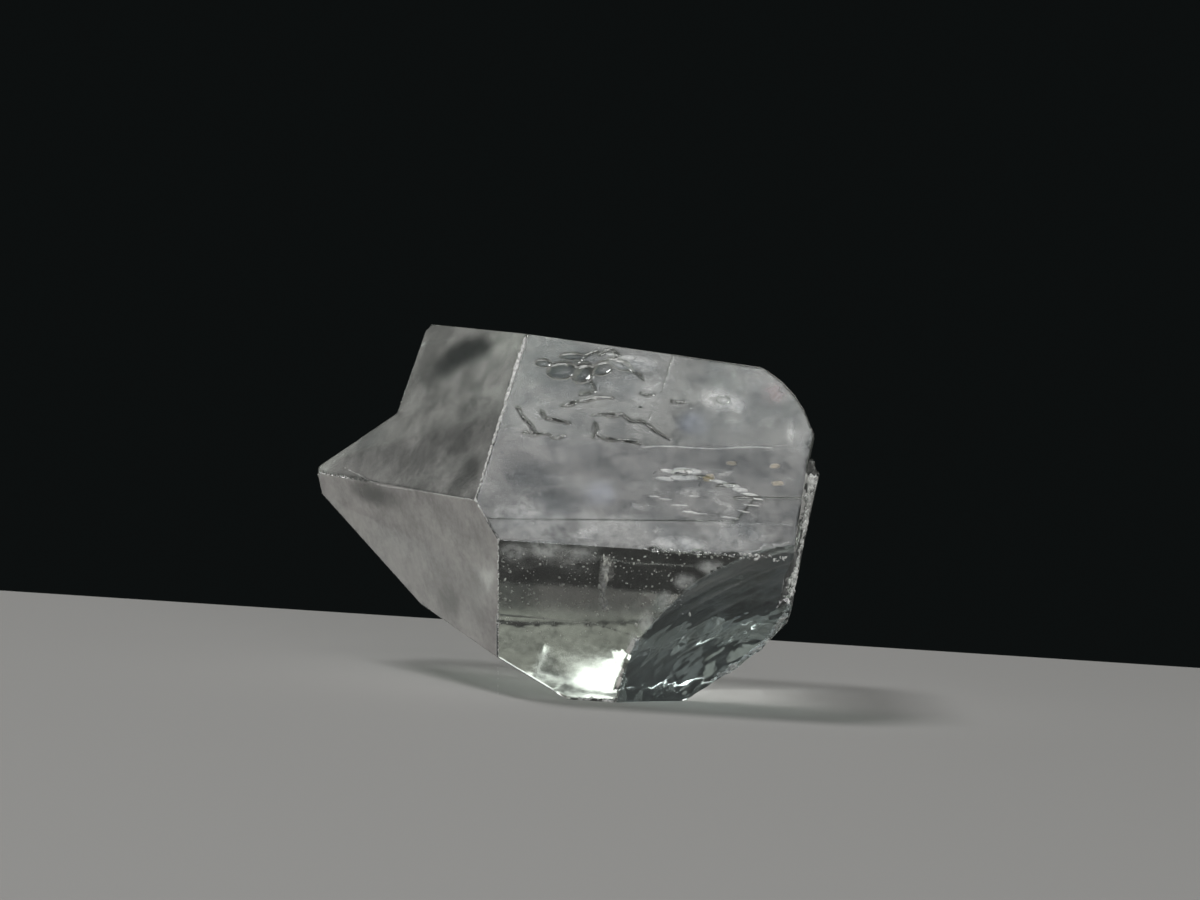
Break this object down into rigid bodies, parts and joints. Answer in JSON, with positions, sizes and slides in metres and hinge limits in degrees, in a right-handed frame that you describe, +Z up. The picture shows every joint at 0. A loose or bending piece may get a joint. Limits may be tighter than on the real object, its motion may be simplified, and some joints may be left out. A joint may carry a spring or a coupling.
{
  "type": "phenakite crystal",
  "caption": "Small clear six-sided mineral crystal lying on a prism face, with a notched pointed end and a broken, stepped end.",
  "frame": {"origin": "on the rest face's plane, under the middle of the crystal's bounding box", "axes": "+X along the crystal's c axis from the pointed end to the broken end, -Y to the front edge between the two front prism faces, +Z up from the prism face that it rests on"},
  "size_m": [0.0092, 0.007, 0.0065],
  "materials": {
    "clear_crystal": "clear colourless crystal, glassy faces with etch marks, hazy veils inside and a glassy break"
  },
  "bodies": {
    "root": {"crystal": "clear_crystal"}
  },
  "joints": []
}
